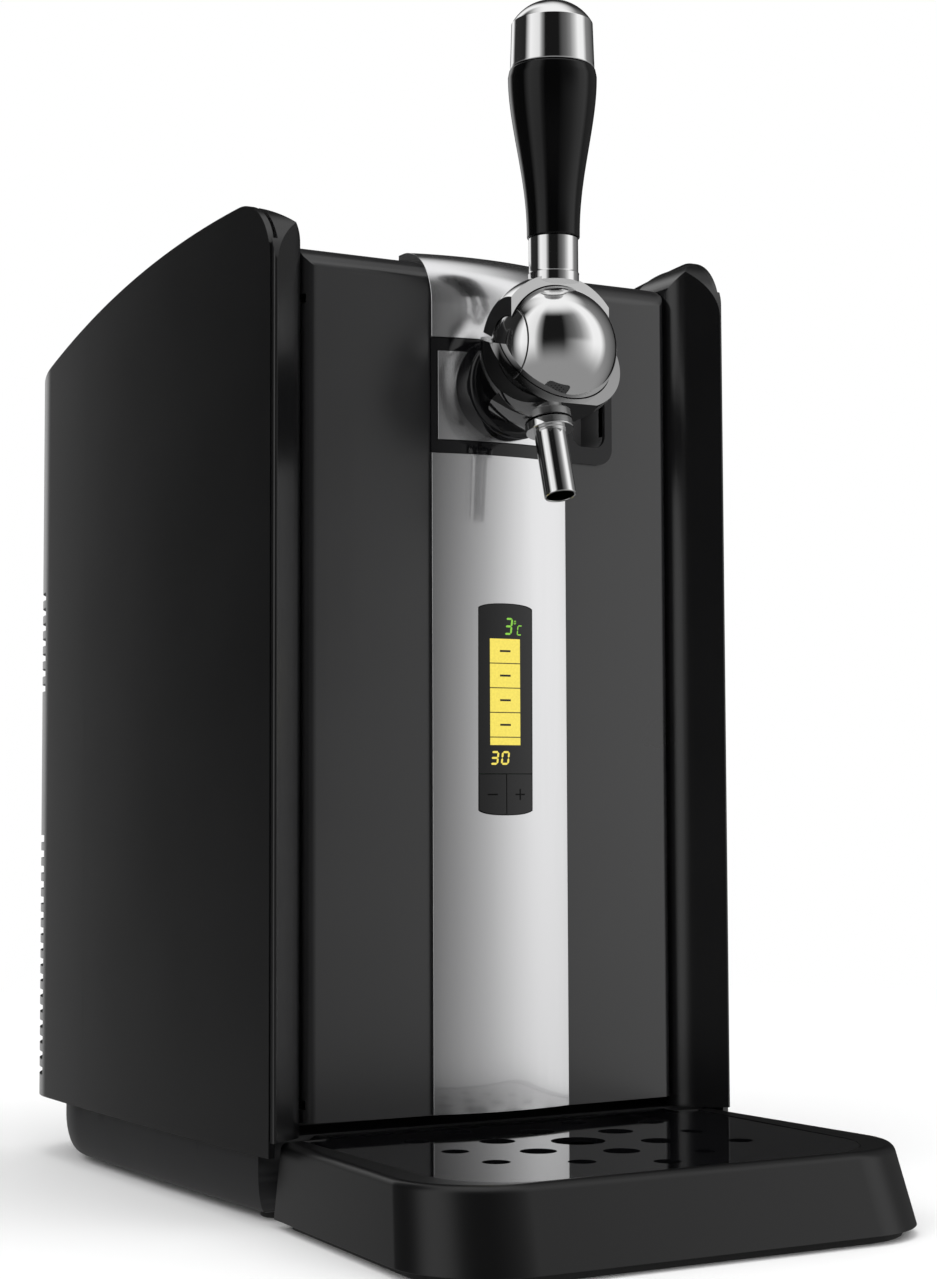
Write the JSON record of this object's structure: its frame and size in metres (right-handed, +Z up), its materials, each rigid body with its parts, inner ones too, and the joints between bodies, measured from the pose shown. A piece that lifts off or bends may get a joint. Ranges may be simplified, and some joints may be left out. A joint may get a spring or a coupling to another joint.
{
  "type": "mini keg beer dispenser",
  "caption": "Countertop cooled dispenser for a mini keg: hinged front door with a ball tap, lever handle and display, and a slide-out drip tray with a perforated plate.",
  "frame": {"origin": "centre of the bounding box in plan, on the floor that the feet and the tray stand on", "axes": "+Z up; +Y to the rear, so the tap faces -Y; +X to the right of someone who faces the tap"},
  "size_m": [0.262, 0.48, 0.5534],
  "materials": {
    "satin_black": "satin",
    "door_grey": "satin",
    "gloss_black": "gloss",
    "chrome": "mirror",
    "bright_strip": "polished",
    "dark_plastic": "matt",
    "inner_plastic": "satin",
    "foam": "foamed",
    "rubber": "matt",
    "aluminium": "machined",
    "ceramic": "ceramic",
    "board": "circuit board",
    "steel": "turned",
    "hose": "silicone hose",
    "magnet": "ferrite"
  },
  "bodies": {
    "housing": {"base_plinth": "dark_plastic", "foot_front_left": "rubber", "foot_front_right": "rubber", "foot_rear_left": "rubber", "foot_rear_right": "rubber", "side_panel_left": "satin_black", "side_panel_right": "satin_black", "front_frame": "satin_black", "top_cover": "satin_black", "rear_cover": "satin_black", "keg_chamber_liner": "inner_plastic", "insulation_jacket": "foam", "cold_plate": "aluminium", "thermoelectric_module": "ceramic", "heat_sink": "aluminium", "fan_frame": "dark_plastic", "air_pump": "dark_plastic", "air_hose": "hose", "gas_coupling": "steel", "control_board": "board", "power_supply": "aluminium", "mains_inlet": "dark_plastic", "hinge_arm_lower": "steel", "hinge_arm_upper": "steel", "hinge_pin_lower": "steel", "hinge_pin_upper": "steel", "strike_plate": "steel"},
    "fan": {"fan_rotor": "dark_plastic"},
    "switch": {"power_switch": "gloss_black"},
    "door": {"door_outer_panel": "door_grey", "door_liner": "inner_plastic", "door_insulation": "foam", "door_gasket": "rubber", "door_magnet": "magnet", "strip_upper": "bright_strip", "strip_tap_plate": "bright_strip", "strip_lower": "bright_strip", "tap_bezel": "gloss_black", "door_pull_cup": "dark_plastic", "display_window": "gloss_black", "display_board": "board", "tap_flange": "gloss_black", "tap_shank": "steel", "tap_socket": "chrome", "tap_side_cap_left": "chrome", "tap_side_cap_right": "chrome", "tap_pivot_shaft": "steel", "tap_spout": "chrome"},
    "minus_key": {"button_minus": "gloss_black"},
    "plus_key": {"button_plus": "gloss_black"},
    "tap_handle": {"tap_ball": "chrome", "tap_saddle": "chrome", "handle_neck": "chrome", "handle_grip": "gloss_black", "handle_cap": "chrome"},
    "plunger": {"valve_plunger": "steel"},
    "tray": {"drip_tray": "satin_black", "tray_magnet": "magnet", "tray_foot_pad": "rubber"},
    "plate": {"drip_plate": "gloss_black"}
  },
  "joints": [
    {"name": "door_hinge", "type": "hinge", "parent": "housing", "child": "door", "pos_m": [-0.0936, -0.059, 0.23], "axis": [0, 0, -1], "range_deg": [0, 100]},
    {"name": "fan_spin", "type": "hinge", "parent": "housing", "child": "fan", "pos_m": [0, 0.227, 0.246], "axis": [0, 1, 0], "continuous": true},
    {"name": "switch_rock", "type": "hinge", "parent": "housing", "child": "switch", "pos_m": [0.063, 0.23519, 0.0755], "axis": [1, 0, 0], "range_deg": [0, 9]},
    {"name": "minus_press", "type": "slide", "parent": "door", "child": "minus_key", "axis": [0, 1, 0], "range_m": [0, 0.0008], "stiffness_N_per_m": 400},
    {"name": "plus_press", "type": "slide", "parent": "door", "child": "plus_key", "axis": [0, 1, 0], "range_m": [0, 0.0008], "stiffness_N_per_m": 400},
    {"name": "handle_pull", "type": "hinge", "parent": "door", "child": "tap_handle", "pos_m": [0, -0.1188, 0.3918], "axis": [1, 0, 0], "range_deg": [0, 45]},
    {"name": "plunger_slide", "type": "slide", "parent": "door", "child": "plunger", "axis": [0, 1, 0], "range_m": [0, 0.003]},
    {"name": "tray_slide", "type": "slide", "parent": "housing", "child": "tray", "axis": [0, -1, 0], "range_m": [0, 0.2]},
    {"name": "plate_tilt", "type": "hinge", "parent": "tray", "child": "plate", "pos_m": [0, -0.063, 0.037], "axis": [-1, 0, 0], "range_deg": [0, 20]}
  ],
  "couplings": [
    {"joint": "plunger_slide", "follows": "handle_pull", "m_per_rad": 0.003819}
  ]
}
